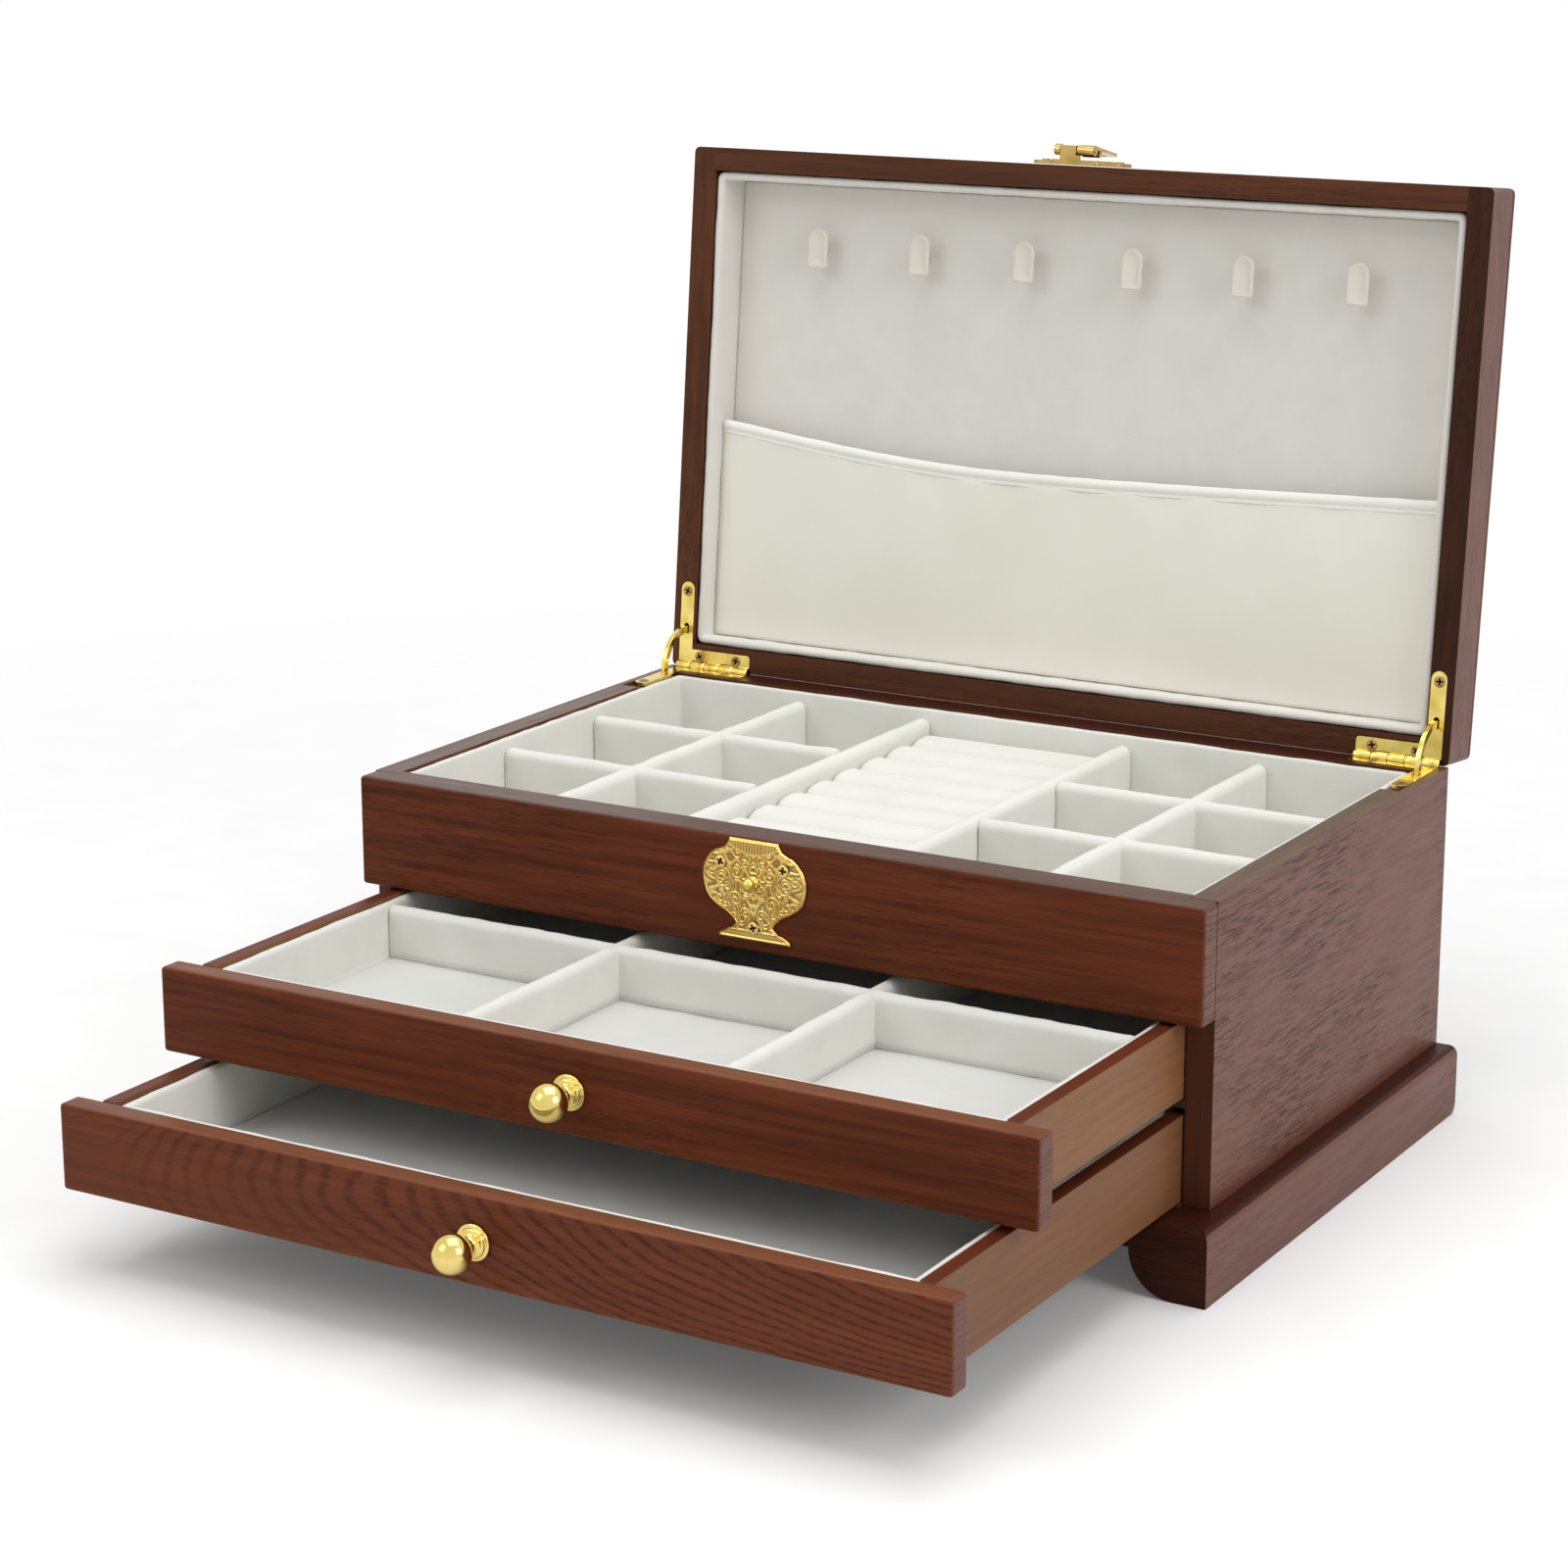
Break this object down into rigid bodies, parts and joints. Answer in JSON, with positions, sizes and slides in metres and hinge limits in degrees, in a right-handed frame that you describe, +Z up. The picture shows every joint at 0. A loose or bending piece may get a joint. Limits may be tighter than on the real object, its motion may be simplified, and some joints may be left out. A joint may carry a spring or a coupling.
{
  "type": "jewelry box",
  "caption": "Tiered wooden jewelry box with a hinged lid, a divided velvet tray with ring rolls, and two pull-out drawers, shown open.",
  "frame": {"origin": "on the floor, under the middle of the open box's bounding box", "axes": "+X to the box's right as seen from the front, +Y from the front to the back, +Z up"},
  "size_m": [0.315, 0.3986, 0.3105],
  "materials": {
    "stained_wood": "satin reddish brown stain over open grain",
    "lid_wood": "satin dark brown stain",
    "drawer_wood": "plain light brown",
    "hidden_board": "matt dark brown",
    "velvet": "short-pile velvet, off-white",
    "satin_cloth": "smooth stretched cloth, off-white",
    "brass": "polished gold-coloured plating"
  },
  "bodies": {
    "case": {"right_side_panel": "stained_wood", "left_side_panel": "stained_wood", "back_panel": "stained_wood", "front_fascia": "stained_wood", "tray_floor_board": "hidden_board", "drawer_shelf": "hidden_board", "bottom_board": "hidden_board", "plinth_front": "stained_wood", "plinth_right": "stained_wood", "plinth_left": "stained_wood", "plinth_back": "stained_wood", "tray_lining": "velvet", "tray_long_divider_left_outer": "velvet", "tray_long_divider_left_inner": "velvet", "tray_long_divider_right_inner": "velvet", "tray_long_divider_right_outer": "velvet", "tray_cross_divider_right_front": "velvet", "tray_cross_divider_left_front": "velvet", "tray_cross_divider_right_back": "velvet", "tray_cross_divider_left_back": "velvet", "ring_roll_pad": "velvet", "escutcheon": "brass", "catch_stud": "brass", "right_case_leaf": "brass", "left_case_leaf": "brass"},
    "lid": {"lid_frame": "lid_wood", "lid_top_panel": "stained_wood", "lid_lining": "velvet", "necklace_hook_1": "velvet", "necklace_hook_2": "velvet", "necklace_hook_3": "velvet", "necklace_hook_4": "velvet", "necklace_hook_5": "velvet", "necklace_hook_6": "velvet", "lid_pocket": "satin_cloth", "pocket_band": "velvet", "right_lid_leaf": "brass", "left_lid_leaf": "brass", "hasp_plate": "brass", "hasp_pin": "brass"},
    "hasp_flap": {"hasp_flap": "brass"},
    "left_stay": {"left_stay": "brass"},
    "right_stay": {"right_stay": "brass"},
    "upper_drawer": {"upper_drawer_front": "stained_wood", "upper_drawer_left_side": "drawer_wood", "upper_drawer_right_side": "drawer_wood", "upper_drawer_back": "drawer_wood", "upper_drawer_bottom": "hidden_board", "upper_drawer_lining": "velvet", "upper_drawer_knob": "brass", "upper_drawer_cross_divider": "velvet", "upper_drawer_long_divider_right": "velvet", "upper_drawer_long_divider_left": "velvet"},
    "lower_drawer": {"lower_drawer_front": "stained_wood", "lower_drawer_left_side": "drawer_wood", "lower_drawer_right_side": "drawer_wood", "lower_drawer_back": "drawer_wood", "lower_drawer_bottom": "hidden_board", "lower_drawer_lining": "velvet", "lower_drawer_knob": "brass"}
  },
  "joints": [
    {"name": "lid_hinge", "type": "hinge", "parent": "case", "child": "lid", "pos_m": [0, 0.15636, 0.1178], "axis": [1, 0, 0], "range_deg": [0, 95.7]},
    {"name": "hasp_pivot", "type": "hinge", "parent": "lid", "child": "hasp_flap", "pos_m": [0, 0.17872, 0.30857], "axis": [1, 0, 0], "range_deg": [0, 187]},
    {"name": "left_stay_pivot", "type": "hinge", "parent": "case", "child": "left_stay", "pos_m": [-0.1446, 0.15636, 0.1178], "axis": [1, 0, 0], "range_deg": [0, 47.85]},
    {"name": "right_stay_pivot", "type": "hinge", "parent": "case", "child": "right_stay", "pos_m": [0.1446, 0.15636, 0.1178], "axis": [1, 0, 0], "range_deg": [0, 47.85]},
    {"name": "upper_drawer_slide", "type": "slide", "parent": "case", "child": "upper_drawer", "axis": [0, 1, 0], "range_m": [-0.048, 0.102]},
    {"name": "lower_drawer_slide", "type": "slide", "parent": "case", "child": "lower_drawer", "axis": [0, 1, 0], "range_m": [0, 0.15]}
  ],
  "couplings": [
    {"joint": "left_stay_pivot", "follows": "lid_hinge", "ratio": 0.5},
    {"joint": "right_stay_pivot", "follows": "lid_hinge", "ratio": 0.5}
  ]
}
